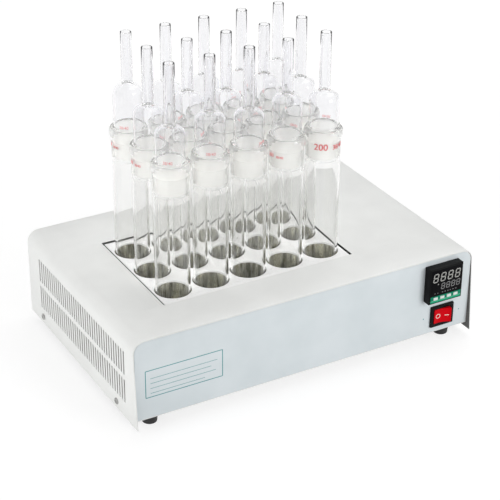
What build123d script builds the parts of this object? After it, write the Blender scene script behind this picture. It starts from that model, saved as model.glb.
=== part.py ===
from build123d import *
from math import hypot, sqrt
import os

# Bench reactor for chemical oxygen demand tests. A low steel housing holds an aluminium
# block with fifteen wells, heated from below. Each well takes a glass digestion tube, and
# each tube carries an air-cooled glass condenser in its ground joint.
# Millimetres. +X to the right, +Y to the back, +Z up. The origin is the middle of the
# footprint, on the bench.

# ---- Housing ----
cover_width = 460.0
cover_depth = 308.0
cover_height = 112.0
skirt_height = 8.0        # lower edge of the cover above the bench
sheet = 1.2               # steel sheet of the cover and the tray
cover_bend = 15.0         # outside radius of the cover's two long bends
sheet_gap = 0.2           # between the cover and the tray inside it
tray_rise = 6.0           # underside of the tray above the cover's lower edge
tray_bend = 2.4           # outside radius where the tray's floor turns up
panel_recess = 7.8        # end walls of the tray behind the cover's edges
top_reach = 0.8           # front edge of the cover's top in front of the front wall
lip_height = 17.0         # side lips of the tray, which take the cover's screws
overlay_thickness = 0.4
overlay_margin = 0.8      # bare edge of the front wall around its overlay

# ---- Louvres in the cover's sides and slots in the tray's floor ----
vent_columns = 38
vent_pitch = 6.5
vent_width = 2.8
vent_height = 31.0
vent_row_gap = 6.5
vent_top_drop = 22.5      # top of the upper row below the cover's top
vent_shift = -2.0         # middle of the rows from the cover's middle
floor_slot_length = 46.0
floor_slot_width = 4.0
floor_slot_pitch = 12.0
floor_slot_rows = 4
floor_slot_y = -38.0      # middle of the slots, in front of the relay

# ---- Wells and heating block ----
columns = 5
rows = 3
pitch_x = 50.0
pitch_y = 54.0
grid_shift_x = -35.0      # middle of the wells from the cover's middle
grid_shift_y = -4.5
well_clearance = 1.25     # around a tube in its well
plate_margin_x = 2.5      # well plate beyond the outermost wells
plate_margin_y = 6.75
plate_thickness = 3.0
plate_drop = 1.0          # top of the well plate below the top of the cover
gap_left = 2.0            # cut-out in the cover around the well plate
gap_right = 2.5
gap_front = 1.0
gap_back = 3.0
block_margin = 6.25       # heating block beyond the well plate
well_floor = 6.0          # metal below each well
heater_thickness = 6.0
heater_inset = 14.0       # heater plate inside the outline of the block
base_thickness = 18.0     # insulation board below the heater
jacket_thickness = 12.0
jacket_drop = 22.0        # top of the insulation jacket below the top of the block
soft_gap = 0.3            # around the insulation
port_diameter = 5.0       # hole for a check thermometer, between four wells
port_depth = 50.0

# ---- Glass ----
tube_diameter = 42.0
tube_wall = 2.0
tube_length = 238.0
foot_round = 8.0          # outside radius at the foot of a tube
foot_gap = 0.3            # between a tube and the floor of its well
rim_diameter = 46.5
rim_height = 14.0
rim_shoulder = 4.5        # slope below the rim's bead
rim_slope = 3.5           # slope above it, up to the mouth
joint_diameter = 38.0     # large end of the ground cone
joint_length = 40.0
joint_taper = 0.1         # standard cone, one in ten on the diameter
ground_gap = 0.2          # between cone and socket
socket_run_out = 6.0      # below the socket, where the bore widens again
bulb_diameter = 35.5
bulb_top = 84.0           # shoulder of the condenser above the foot of its cone
condenser_length = 156.5
condenser_wall = 1.6
shoulder_round = 11.0
neck_diameter = 13.0
neck_bore = 9.5

# ---- Feet and screws ----
foot_diameter = 20.0
foot_tread = 17.6         # diameter on the bench
foot_inset_x = 27.0
foot_inset_y = 25.0
foot_recess = 6.0         # depth of the pocket around the screw's head
screw_diameter = 4.0
screw_head = 8.0
screw_head_height = 2.2
screw_clearance = 0.2     # radial
head_side = 0.45          # upright share of a screw head's height
head_face = 0.62          # flat share of its width
foot_screw_end = 6.0      # thread above the tray's floor
side_screw_length = 9.0
side_screw_height = 10.0  # above the cover's lower edge
side_screw_front = 54.0   # from the cover's front edge
side_screw_back = 40.0    # from the cover's back edge
bolt_diameter = 6.0
bolt_head = 10.0
bolt_head_height = 4.0
bolt_grip = 10.0          # thread in the block

# ---- Temperature controller, 48 mm square ----
controller_from_right = 45.2
controller_drop = 32.2    # middle of the controller below the top of the cover
bezel_side = 48.0
bezel_depth = 12.0
bezel_chamfer = 1.2
panel_cut_side = 45.0
case_side = 44.4
case_depth = 75.0
case_step_side = 35.5     # terminals at the back of the case
case_step_depth = 9.0
window_side = 45.0
window_depth = 1.0
window_set = 0.2          # front of the window behind the front of the bezel
window_gap = 0.2          # around the window in its pocket
clamp_side = 51.0
clamp_depth = 9.0
clamp_gap = 0.4
key_count = 4
key_width = 6.2
key_height = 3.6
key_pitch = 9.8
key_rise = 7.0            # middle of the keys above the bezel's lower edge
key_proud = 0.6
key_depth = 3.2
key_gap = 0.3
key_travel = 0.5

# ---- Mains switch ----
switch_from_right = 41.0
switch_rise = 24.0        # middle of the switch above the underside of the tray
switch_width = 33.5
switch_height = 29.0
switch_flange = 2.2
switch_body_width = 28.0
switch_body_height = 24.4
switch_body_depth = 18.0
switch_wall = 1.6         # floor of the switch's housing
rocker_width = 22.6
rocker_height = 19.4
rocker_gap = 0.3
rocker_middle = 3.0       # saddle of the rocker in front of its pivot
rocker_edge = 5.2         # ends of the rocker in front of its pivot
rocker_heel = 3.5         # back of the rocker behind its pivot
rocker_heel_width = 17.0
rocker_tilt = 11.0        # degrees each side of the middle
pivot_depth = 2.0         # pivot behind the front of the switch's flange
pivot_diameter = 3.0
pivot_length = 1.2
pivot_clearance = 0.05
cut_clearance = 0.2       # around bodies in the panels

# ---- Mains inlet with fuse drawer, in the back wall ----
inlet_from_right = 65.0
inlet_height = 46.0       # middle of the inlet above the tray's floor
inlet_flange_width = 32.0
inlet_flange_height = 48.0
inlet_flange = 3.0
inlet_body_width = 27.4
inlet_body_height = 41.0
inlet_body_depth = 26.0
socket_width = 24.4
socket_height = 16.4
socket_depth = 18.0
socket_cut = 5.0          # cut corners beside the earth pin
socket_rise = 8.0         # middle of the socket above the middle of the inlet
pin_thickness = 2.0
pin_width = 4.0
pin_length = 15.0
pin_fit = 0.05            # slots around the pins, over the pins' own size
pin_spacing = 14.0
pin_offset = 2.0          # live pins below and earth pin above the socket's middle
pin_tail = 8.0
drawer_width = 20.4
drawer_height = 8.0
drawer_depth = 21.0
drawer_fall = 12.0        # middle of the drawer below the middle of the inlet
drawer_lip = 1.6
drawer_lip_width = 23.0
drawer_lip_height = 9.6
drawer_gap = 0.2
drawer_wall = 1.0
fuse_diameter = 5.0
fuse_length = 17.0        # glass fuse between its caps' outer faces, along the drawer's width
fuse_cap_length = 4.5
fuse_cap_diameter = 5.4

# ---- Parts on the floor of the tray ----
relay_width = 45.0
relay_depth = 60.0
relay_height = 23.0
relay_shift = -4.15       # middle of the relay from the middle of the floor beside the insulation
relay_y = 20.0
relay_step = 12.0         # terminals at each end of the relay
relay_step_height = 13.8
strip_width = 66.0
strip_depth = 22.0
strip_height = 16.0
strip_base = 9.6          # height between the strip's walls
strip_wall = 1.2
strip_y = 82.0
strip_ways = 6
probe_diameter = 5.0
probe_length = 38.0       # inside the block
probe_collar = 8.0
probe_collar_length = 3.0
probe_sleeve = 18.0       # outside the collar
probe_rise = 20.0         # above the underside of the block
probe_clearance = 0.3

# ---- Levels and places worked out from the sizes above ----
cover_top = skirt_height + cover_height
cover_front = -cover_depth / 2
cover_back = cover_depth / 2
right_side = cover_width / 2

tray_bottom = skirt_height + tray_rise
floor_top = tray_bottom + sheet
panel_width = cover_width - 2 * (sheet + sheet_gap)
panel_top = cover_top - sheet - sheet_gap
panel_corner = cover_bend - sheet - sheet_gap
panel_front = cover_front + panel_recess
panel_back = cover_back - panel_recess
overlay_front = panel_front - overlay_thickness
lip_top = tray_bottom + lip_height

grid_x = grid_shift_x
grid_y = grid_shift_y
well_diameter = tube_diameter + 2 * well_clearance
plate_width = (columns - 1) * pitch_x + well_diameter + 2 * plate_margin_x
plate_depth = (rows - 1) * pitch_y + well_diameter + 2 * plate_margin_y
plate_top = cover_top - plate_drop
block_top = plate_top - plate_thickness
block_bottom = floor_top + base_thickness + heater_thickness
block_width = plate_width + 2 * block_margin
block_depth = plate_depth + 2 * block_margin
jacket_width = block_width + 2 * (soft_gap + jacket_thickness)
jacket_depth = block_depth + 2 * (soft_gap + jacket_thickness)
well_bottom = block_bottom + well_floor
port_x = grid_x + pitch_x / 2
port_y = grid_y + pitch_y / 2
block_right = grid_x + block_width / 2
insulation_right = block_right + soft_gap + jacket_thickness
side_floor_x = (insulation_right + right_side) / 2

tube_foot = well_bottom + foot_gap
tube_top = tube_foot + tube_length
cone_foot = tube_top - joint_length

controller_x = right_side - controller_from_right
controller_z = cover_top - controller_drop
bezel_front = overlay_front - bezel_depth
bezel_bottom = controller_z - bezel_side / 2
window_front = bezel_front + window_set
switch_x = right_side - switch_from_right
switch_z = tray_bottom + switch_rise
flange_front = overlay_front - switch_flange
pivot_y = flange_front + pivot_depth
rocker_reach = hypot(rocker_width / 2, rocker_edge)
rocker_well_width = 2 * (rocker_reach + rocker_gap)
rocker_well_height = rocker_height + 2 * rocker_gap
inlet_x = right_side - inlet_from_right
inlet_z = floor_top + inlet_height
relay_x = side_floor_x + relay_shift
probe_z = block_bottom + probe_rise

well_places = {
    f"r{row + 1}c{column + 1}": (
        grid_x + (column - (columns - 1) / 2) * pitch_x,
        grid_y + (row - (rows - 1) / 2) * pitch_y,
    )
    for row in range(rows)
    for column in range(columns)
}
bolt_places = [
    (grid_x + side_x * (columns - 2) * pitch_x / 2, grid_y + side_y * pitch_y / 2)
    for side_x in (-1, 1)
    for side_y in (-1, 1)
]
foot_places = [
    (side_x * (cover_width / 2 - foot_inset_x), side_y * (cover_depth / 2 - foot_inset_y))
    for side_x in (-1, 1)
    for side_y in (-1, 1)
]
side_screw_z = skirt_height + side_screw_height
side_screw_places = (cover_front + side_screw_front, cover_back - side_screw_back)


# ---- Shapes used by several parts ----
def block_between(x_range, y_range, z_range):
    """Upright box from one corner to the other."""
    low, high = zip(x_range, y_range, z_range)
    size = [b - a for a, b in zip(low, high)]
    return Pos(*low) * Box(*size, align=(Align.MIN, Align.MIN, Align.MIN))


def block_around(x, z, width, height, y_range):
    """Box centred on x and z that runs from front to back."""
    return block_between((x - width / 2, x + width / 2), y_range, (z - height / 2, z + height / 2))


def upright(x, y, diameter, z_range):
    """Vertical cylinder."""
    low, high = z_range
    bottom = (Align.CENTER, Align.CENTER, Align.MIN)
    return Pos(x, y, low) * Cylinder(diameter / 2, high - low, align=bottom)


def lying(y, z, diameter, x_range):
    """Cylinder along X."""
    low, high = x_range
    bottom = (Align.CENTER, Align.CENTER, Align.MIN)
    return Pos(low, y, z) * Rot(0, 90, 0) * Cylinder(diameter / 2, high - low, align=bottom)


def turned(points):
    """Solid of revolution about Z from its outline, given as radius and height."""
    return revolve(Plane.XZ * make_face(Polyline(*points, close=True)), Axis.Z)


def eased(radius, height, reach, side):
    """Outer corner of an outline, taken off in two flats: side is 1 at a foot and -1 at a shoulder."""
    middle = reach * (1 - sqrt(0.5))
    return [
        (radius - reach, height),
        (radius - middle, height + side * middle),
        (radius, height + side * reach),
    ]


def arch(width, bottom, top, radius, y_range):
    """Plate or bar across the housing, rounded at its two upper corners like the cover."""
    outline = Rectangle(width, top - bottom, align=(Align.CENTER, Align.MIN))
    outline = fillet(outline.vertices().group_by(Axis.Y)[-1], radius)
    start, end = y_range
    return extrude(Plane.XZ.offset(-start) * Pos(0, bottom) * outline, amount=-(end - start))


def pan_screw(head, head_height, shank, length):
    """Screw along Z with its head above the origin."""
    return turned(
        [
            (0, -length),
            (shank / 2, -length),
            (shank / 2, 0),
            (head / 2, 0),
            (head / 2, head_height * head_side),
            (head / 2 * head_face, head_height),
            (0, head_height),
        ]
    )


# ---- Housing ----
def top_cover():
    """Sheet bent over the top and both sides, open at the front and the back.

    The top ends level with the front panel, and the sides lean forward from there to their foot.
    """
    ends = (cover_front, cover_back)
    inner_width = cover_width - 2 * sheet
    shell = arch(cover_width, skirt_height, cover_top, cover_bend, ends)
    shell -= arch(inner_width, skirt_height - sheet, cover_top - sheet, cover_bend - sheet, ends)
    shell -= block_between(
        (grid_x - plate_width / 2 - gap_left, grid_x + plate_width / 2 + gap_right),
        (grid_y - plate_depth / 2 - gap_front, grid_y + plate_depth / 2 + gap_back),
        (cover_top - 2 * sheet, cover_top + sheet),
    )
    top_front = panel_front - top_reach
    cheek_edge = Polyline(
        (cover_front, skirt_height),
        (top_front, cover_top - cover_bend),
        (top_front, cover_top + sheet),
        (cover_front - sheet, cover_top + sheet),
        (cover_front - sheet, skirt_height),
        close=True,
    )
    shell -= extrude(Plane.YZ * make_face(cheek_edge), amount=cover_width, both=True)
    upper_row = cover_top - vent_top_drop - vent_height / 2
    rows_of_vents = (upper_row, upper_row - vent_height - vent_row_gap)
    slots = [
        Pos(vent_shift + (n - (vent_columns - 1) / 2) * vent_pitch, z) * Rectangle(vent_width, vent_height)
        for z in rows_of_vents
        for n in range(vent_columns)
    ]
    shell -= extrude(Plane.YZ * (Sketch() + slots), amount=cover_width, both=True)
    hole = screw_diameter + 2 * screw_clearance
    for y in side_screw_places:
        shell -= lying(y, side_screw_z, hole, (-cover_width, cover_width))
    return shell


def chassis_tray():
    """Bent tray: a floor, a wall at each end and a low lip along each side."""
    span = panel_back - panel_front
    inner = span - 2 * sheet
    section = Rectangle(span, panel_top - tray_bottom, align=(Align.CENTER, Align.MIN))
    section = fillet(section.vertices().group_by(Axis.Y)[0], tray_bend)
    hollow = Rectangle(inner, panel_top - floor_top + sheet, align=(Align.CENTER, Align.MIN))
    hollow = fillet(hollow.vertices().group_by(Axis.Y)[0], tray_bend - sheet)
    section = Pos(0, tray_bottom) * section - Pos(0, floor_top) * hollow
    tray = extrude(Plane.YZ * section, amount=panel_width / 2, both=True)
    tray &= arch(panel_width, tray_bottom, panel_top, panel_corner, (panel_front, panel_back))
    for side in (-1, 1):
        lip_faces = sorted((side * panel_width / 2, side * (panel_width / 2 - sheet)))
        tray += block_between(
            lip_faces, (panel_front + sheet, panel_back - sheet), (tray_bottom + sheet / 2, lip_top)
        )
    through = (panel_front - sheet, panel_front + 2 * sheet)
    tray -= block_around(controller_x, controller_z, panel_cut_side, panel_cut_side, through)
    tray -= block_around(
        switch_x,
        switch_z,
        switch_body_width + 2 * cut_clearance,
        switch_body_height + 2 * cut_clearance,
        through,
    )
    tray -= block_around(
        inlet_x,
        inlet_z,
        inlet_body_width + 2 * cut_clearance,
        inlet_body_height + 2 * cut_clearance,
        (panel_back - 2 * sheet, panel_back + sheet),
    )
    hole = screw_diameter + 2 * screw_clearance
    drill = (tray_bottom - sheet, floor_top + sheet)
    for x, y in foot_places:
        tray -= upright(x, y, hole, drill)
    for x, y in bolt_places:
        tray -= upright(x, y, bolt_diameter + 2 * screw_clearance, drill)
    for y in side_screw_places:
        tray -= lying(y, side_screw_z, hole, (-cover_width, cover_width))
    for n in range(floor_slot_rows):
        y = floor_slot_y + (n - (floor_slot_rows - 1) / 2) * floor_slot_pitch
        tray -= Pos(side_floor_x, y, tray_bottom) * Box(floor_slot_length, floor_slot_width, 3 * sheet)
    return tray


def front_overlay():
    """Thin plastic sheet stuck on the front wall."""
    sheet_face = arch(
        panel_width - 2 * overlay_margin,
        tray_bottom + tray_bend,
        panel_top - overlay_margin,
        panel_corner - overlay_margin,
        (overlay_front, panel_front),
    )
    through = (overlay_front - sheet, panel_front + sheet)
    sheet_face -= block_around(controller_x, controller_z, panel_cut_side, panel_cut_side, through)
    sheet_face -= block_around(
        switch_x,
        switch_z,
        switch_body_width + 2 * cut_clearance,
        switch_body_height + 2 * cut_clearance,
        through,
    )
    return sheet_face


def rubber_feet():
    """Four tapered feet, each with a pocket below for its screw's head."""
    foot = turned(
        [
            (foot_diameter / 2, tray_bottom),
            (screw_diameter / 2 + screw_clearance, tray_bottom),
            (screw_diameter / 2 + screw_clearance, foot_recess),
            (screw_head / 2 + screw_clearance, foot_recess),
            (screw_head / 2 + screw_clearance, 0),
            (foot_tread / 2, 0),
        ]
    )
    return [Pos(x, y, 0) * foot for x, y in foot_places]


def foot_screws():
    """Screws through the feet into the tray's floor."""
    length = floor_top + foot_screw_end - foot_recess
    screw = Rot(180, 0, 0) * pan_screw(screw_head, screw_head_height, screw_diameter, length)
    return [Pos(x, y, foot_recess) * screw for x, y in foot_places]


def cover_screws():
    """Two screws in each side hold the cover to the tray's lips."""
    screw = pan_screw(screw_head, screw_head_height, screw_diameter, side_screw_length)
    return [
        Pos(side * cover_width / 2, y, side_screw_z) * Rot(0, side * 90, 0) * screw
        for side in (-1, 1)
        for y in side_screw_places
    ]


# ---- Wells and heat ----
def well_plate():
    """White plate on the block, level with the cover, with a hole over each well."""
    plate = Pos(grid_x, grid_y, block_top) * Box(
        plate_width, plate_depth, plate_thickness, align=(Align.CENTER, Align.CENTER, Align.MIN)
    )
    drill = (block_top - sheet, plate_top + sheet)
    for x, y in well_places.values():
        plate -= upright(x, y, well_diameter, drill)
    return plate - upright(port_x, port_y, port_diameter, drill)


def heating_block():
    """Aluminium block with blind wells, a thermometer hole and a hole for the probe."""
    block = Pos(grid_x, grid_y, block_bottom) * Box(
        block_width, block_depth, block_top - block_bottom, align=(Align.CENTER, Align.CENTER, Align.MIN)
    )
    for x, y in well_places.values():
        block -= upright(x, y, well_diameter, (well_bottom, block_top + sheet))
    block -= upright(port_x, port_y, port_diameter, (plate_top - port_depth, block_top + sheet))
    for x, y in bolt_places:
        hole_top = block_bottom + bolt_grip + 2 * screw_clearance
        block -= upright(x, y, bolt_diameter + 2 * screw_clearance, (block_bottom - sheet, hole_top))
    probe_room = (block_right - probe_length - probe_clearance, block_right + sheet)
    return block - lying(port_y, probe_z, probe_diameter + 2 * probe_clearance, probe_room)


def heater_plate():
    """Flat heater clamped under the block."""
    heater = Pos(grid_x, grid_y, floor_top + base_thickness) * Box(
        block_width - 2 * heater_inset,
        block_depth - 2 * heater_inset,
        heater_thickness,
        align=(Align.CENTER, Align.CENTER, Align.MIN),
    )
    for x, y in bolt_places:
        drill = (floor_top, block_bottom + sheet)
        heater -= upright(x, y, bolt_diameter + 2 * screw_clearance, drill)
    return heater


def insulation_base():
    """Board that carries the block and its heater above the tray's floor."""
    board = Pos(grid_x, grid_y, floor_top) * Box(
        jacket_width, jacket_depth, base_thickness, align=(Align.CENTER, Align.CENTER, Align.MIN)
    )
    for x, y in bolt_places:
        drill = (tray_bottom, floor_top + base_thickness + sheet)
        board -= upright(x, y, bolt_diameter + 2 * screw_clearance, drill)
    return board


def insulation_jacket():
    """Ring of insulation that stands on the board, around the heater and the block."""
    low, high = floor_top + base_thickness, block_top - jacket_drop
    ring = Rectangle(jacket_width, jacket_depth) - Rectangle(
        block_width + 2 * soft_gap, block_depth + 2 * soft_gap
    )
    jacket = extrude(Pos(grid_x, grid_y, low) * ring, amount=high - low)
    sleeve_hole = probe_collar + 2 * probe_clearance
    reach = (block_right - sheet, block_right + 2 * jacket_thickness)
    return jacket - lying(port_y, probe_z, sleeve_hole, reach)


def block_bolts():
    """Bolts up through the tray, the board and the heater into the block."""
    length = block_bottom + bolt_grip - tray_bottom
    bolt = Rot(180, 0, 0) * pan_screw(bolt_head, bolt_head_height, bolt_diameter, length)
    return [Pos(x, y, tray_bottom) * bolt for x, y in bolt_places]


def temperature_probe():
    """Metal probe in the side of the block, with its collar and sleeve outside."""
    collar_end = probe_collar_length
    sleeve_end = probe_collar_length + probe_sleeve
    probe = turned(
        [
            (0, -probe_length),
            (probe_diameter / 2, -probe_length),
            (probe_diameter / 2, 0),
            (probe_collar / 2, 0),
            (probe_collar / 2, collar_end),
            (probe_diameter / 2, collar_end),
            (probe_diameter / 2, sleeve_end),
            (0, sleeve_end),
        ]
    )
    return Pos(block_right, port_y, probe_z) * Rot(0, 90, 0) * probe


# ---- Glass ----
def digestion_tube():
    """Flat-footed tube with a beaded rim around a ground socket, foot at the origin."""
    outside, inside, rim = tube_diameter / 2, tube_diameter / 2 - tube_wall, rim_diameter / 2
    mouth = joint_diameter / 2 + ground_gap
    socket_foot = tube_length - joint_length
    return turned(
        [
            (0, 0),
            *eased(outside, 0, foot_round, 1),
            (outside, tube_length - rim_height),
            (rim, tube_length - rim_height + rim_shoulder),
            (rim, tube_length - rim_slope),
            (rim - tube_wall, tube_length),
            (mouth, tube_length),
            (mouth - joint_taper * joint_length / 2, socket_foot),
            (inside, socket_foot - socket_run_out),
            *reversed(eased(inside, tube_wall, foot_round - tube_wall, 1)),
            (0, tube_wall),
        ]
    )


def condenser():
    """Hollow ground cone, bulb and open neck in one piece of glass, cone's foot at the origin."""
    wide, bulb, neck = joint_diameter / 2, bulb_diameter / 2, neck_diameter / 2
    narrow = wide - joint_taper * joint_length / 2
    inner, ceiling = bulb - condenser_wall, bulb_top - condenser_wall
    return turned(
        [
            (narrow, 0),
            (wide, joint_length),
            (bulb, joint_length + 2 * (wide - bulb)),
            *reversed(eased(bulb, bulb_top, shoulder_round, -1)),
            (neck, bulb_top),
            (neck, condenser_length),
            (neck_bore / 2, condenser_length),
            (neck_bore / 2, ceiling),
            *eased(inner, ceiling, shoulder_round - condenser_wall, -1),
            (inner, joint_length),
            (narrow - condenser_wall, 0),
        ]
    )


# ---- Temperature controller ----
def key_places():
    """Middle of each key across the controller, from left to right."""
    return [controller_x + (n - (key_count - 1) / 2) * key_pitch for n in range(key_count)]


def key_holes(shape, y_range):
    """Cut an opening for each key."""
    for x in key_places():
        width, height = key_width + 2 * key_gap, key_height + 2 * key_gap
        shape -= block_around(x, bezel_bottom + key_rise, width, height, y_range)
    return shape


def controller_bezel():
    """Square front of the controller, with a shallow pocket for the window."""
    bezel = block_around(
        controller_x, controller_z, bezel_side, bezel_side, (bezel_front, overlay_front)
    )
    bezel = chamfer(bezel.faces().sort_by(Axis.Y)[0].edges(), bezel_chamfer)
    pocket_floor = bezel_front + window_depth
    bezel -= block_around(
        controller_x, controller_z, window_side, window_side, (bezel_front - sheet, pocket_floor)
    )
    key_room = window_front - key_proud + key_depth + key_travel + key_gap
    return key_holes(bezel, (bezel_front, key_room))


def controller_window():
    """Dark front sheet in the bezel's pocket, with an opening for each key."""
    side = window_side - 2 * window_gap
    pocket_floor = bezel_front + window_depth
    window = block_around(controller_x, controller_z, side, side, (window_front, pocket_floor))
    return key_holes(window, (window_front - sheet, pocket_floor + sheet))


def controller_key(x):
    """One key, standing a little proud of the window."""
    front = window_front - key_proud
    key = block_around(x, bezel_bottom + key_rise, key_width, key_height, (front, front + key_depth))
    return chamfer(key.faces().sort_by(Axis.Y)[0].edges(), key_proud / 2)


def controller_case():
    """Housing of the controller behind the panel, with its terminal step at the back."""
    back = overlay_front + case_depth
    case = block_around(controller_x, controller_z, case_side, case_side, (overlay_front, back))
    step = (back, back + case_step_depth)
    return case + block_around(controller_x, controller_z, case_step_side, case_step_side, step)


def controller_clamp():
    """Square ring pushed along the case against the back of the front wall."""
    start = panel_front + sheet
    ends = (start, start + clamp_depth)
    inner = case_side + 2 * clamp_gap
    clamp = block_around(controller_x, controller_z, clamp_side, clamp_side, ends)
    return clamp - block_around(controller_x, controller_z, inner, inner, ends)


# ---- Mains switch ----
def switch_frame():
    """Flange and housing of the switch, hollow for the rocker."""
    body_back = overlay_front + switch_body_depth
    frame = block_around(
        switch_x, switch_z, switch_width, switch_height, (flange_front, overlay_front)
    )
    frame = fillet(frame.edges().filter_by(Axis.Y), switch_flange / 2)
    frame += block_around(
        switch_x, switch_z, switch_body_width, switch_body_height, (overlay_front, body_back)
    )
    frame -= block_around(
        switch_x,
        switch_z,
        rocker_well_width,
        rocker_well_height,
        (flange_front - sheet, body_back - switch_wall),
    )
    reach = rocker_height / 2 + pivot_length + rocker_gap
    hole = pivot_diameter + 2 * pivot_clearance
    return frame - upright(switch_x, pivot_y, hole, (switch_z - reach, switch_z + reach))


def switch_rocker():
    """Rocker with a hollow front face, stored with its left end pressed."""
    half, heel = rocker_width / 2, rocker_heel_width / 2
    left, right = (-half, -rocker_edge), (half, -rocker_edge)
    face = ThreePointArc(left, (0, -rocker_middle), right)
    back = Polyline(right, (half, 0), (heel, rocker_heel), (-heel, rocker_heel), (-half, 0), left)
    rocker = extrude(make_face(face + back), amount=rocker_height / 2, both=True)
    reach = rocker_height / 2 + pivot_length
    rocker += upright(0, 0, pivot_diameter, (-reach, reach))
    return Pos(switch_x, pivot_y, switch_z) * Rot(0, 0, -rocker_tilt) * rocker


# ---- Mains inlet ----
def drawer_box(width, height, y_range):
    """Box around the fuse drawer's axis."""
    return block_around(inlet_x, inlet_z - drawer_fall, width, height, y_range)


def socket_outline(width, height):
    """Section of the inlet's socket, with two corners cut beside the earth pin."""
    outline = Rectangle(width, height)
    return chamfer(outline.vertices().group_by(Axis.Y)[-1], socket_cut)


def pin_places():
    """Middle of each pin: live, earth, neutral."""
    middle = inlet_z + socket_rise
    return [
        (inlet_x - pin_spacing / 2, middle - pin_offset),
        (inlet_x, middle + pin_offset),
        (inlet_x + pin_spacing / 2, middle - pin_offset),
    ]


def power_inlet():
    """Flanged inlet body with a shaped socket and a slot for the fuse drawer."""
    flange_back = panel_back + inlet_flange
    body_front = panel_back - inlet_body_depth
    socket_floor = flange_back - socket_depth
    flange = block_around(
        inlet_x, inlet_z, inlet_flange_width, inlet_flange_height, (panel_back, flange_back)
    )
    inlet = fillet(flange.edges().filter_by(Axis.Y), inlet_flange)
    inlet += block_around(
        inlet_x, inlet_z, inlet_body_width, inlet_body_height, (body_front, panel_back)
    )
    socket = Plane.XZ.offset(-flange_back) * Pos(inlet_x, inlet_z + socket_rise) * socket_outline(
        socket_width, socket_height
    )
    inlet -= extrude(socket, amount=socket_depth)
    for x, z in pin_places():
        width, height = pin_thickness + pin_fit, pin_width + pin_fit
        inlet -= block_around(x, z, width, height, (body_front - sheet, socket_floor + sheet))
    drawer_floor = flange_back - drawer_depth - drawer_gap
    width, height = drawer_width + 2 * drawer_gap, drawer_height + 2 * drawer_gap
    return inlet - drawer_box(width, height, (drawer_floor, flange_back + sheet))


def inlet_pins():
    """Three flat pins through the back of the socket, with their tails inside."""
    socket_floor = panel_back + inlet_flange - socket_depth
    reach = (panel_back - inlet_body_depth - pin_tail, socket_floor + pin_length)
    return [block_around(x, z, pin_thickness, pin_width, reach) for x, z in pin_places()]


def fuse_drawer():
    """Open-topped drawer with a finger lip, which holds one fuse across its width."""
    flange_back = panel_back + inlet_flange
    drawer = drawer_box(drawer_width, drawer_height, (flange_back - drawer_depth, flange_back))
    drawer += drawer_box(drawer_lip_width, drawer_lip_height, (flange_back, flange_back + drawer_lip))
    room = fuse_cap_diameter + 2 * drawer_gap
    fuse_y = flange_back - drawer_depth / 2
    cut = (fuse_y - room / 2, fuse_y + room / 2)
    low = inlet_z - drawer_fall - drawer_height / 2 + drawer_wall
    length = fuse_length + 2 * drawer_gap
    drawer -= block_between(
        (inlet_x - length / 2, inlet_x + length / 2), cut, (low, low + drawer_height)
    )
    return drawer


def fuse():
    """Glass fuse with a metal cap at each end."""
    fuse_y = panel_back + inlet_flange - drawer_depth / 2
    low = inlet_z - drawer_fall - drawer_height / 2 + drawer_wall
    fuse_z = low + drawer_gap + fuse_cap_diameter / 2
    half = fuse_length / 2
    glass = lying(fuse_y, fuse_z, fuse_diameter, (inlet_x - half, inlet_x + half))
    for side in (-1, 1):
        cap = sorted((inlet_x + side * half, inlet_x + side * (half - fuse_cap_length)))
        glass += lying(fuse_y, fuse_z, fuse_cap_diameter, cap)
    return glass


# ---- Parts on the tray's floor ----
def solid_state_relay():
    """Relay block with a step along each end for its terminals."""
    base = (Align.CENTER, Align.CENTER, Align.MIN)
    relay = Box(relay_width, relay_depth, relay_step_height, align=base)
    relay += Box(relay_width, relay_depth - 2 * relay_step, relay_height, align=base)
    return Pos(relay_x, relay_y, floor_top) * relay


def terminal_block():
    """Strip of terminals with a wall between each way and the next."""
    base = (Align.CENTER, Align.CENTER, Align.MIN)
    strip = Box(strip_width, strip_depth, strip_base, align=base)
    way = (strip_width - strip_wall) / strip_ways
    for n in range(strip_ways + 1):
        strip += Pos((n - strip_ways / 2) * way) * Box(strip_wall, strip_depth, strip_height, align=base)
    return Pos(relay_x, strip_y, floor_top) * strip


# ---- Assembly ----
pieces = {
    "top_cover": top_cover(),
    "chassis_tray": chassis_tray(),
    "front_overlay": front_overlay(),
    "rubber_feet": rubber_feet(),
    "foot_screws": foot_screws(),
    "cover_screws": cover_screws(),
    "well_plate": well_plate(),
    "heating_block": heating_block(),
    "heater_plate": heater_plate(),
    "insulation_base": insulation_base(),
    "insulation_jacket": insulation_jacket(),
    "block_bolts": block_bolts(),
    "temperature_probe": temperature_probe(),
    "controller_bezel": controller_bezel(),
    "controller_window": controller_window(),
    "controller_case": controller_case(),
    "controller_clamp": controller_clamp(),
    "switch_frame": switch_frame(),
    "switch_rocker": switch_rocker(),
    "power_inlet": power_inlet(),
    "inlet_pins": inlet_pins(),
    "fuse_drawer": fuse_drawer(),
    "fuse": fuse(),
    "solid_state_relay": solid_state_relay(),
    "terminal_block": terminal_block(),
}
for name, x in zip(("key_set", "key_shift", "key_down", "key_up"), key_places()):
    pieces[name] = controller_key(x)
glass_tube = digestion_tube()
glass_condenser = condenser()
for place, (x, y) in well_places.items():
    pieces[f"tube_{place}"] = Pos(x, y, tube_foot) * glass_tube
    pieces[f"condenser_{place}"] = Pos(x, y, cone_foot) * glass_condenser

os.makedirs("parts", exist_ok=True)
for name, piece in pieces.items():
    group = Compound(children=piece) if isinstance(piece, list) else piece
    export_step(group, f"parts/{name}.step")
print(len(pieces), "pieces, height", round(cone_foot + condenser_length, 2))
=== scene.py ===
from math import cos, pi, radians, sin

import bmesh
import bpy
import numpy as np
from mathutils import Matrix, Vector


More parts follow.
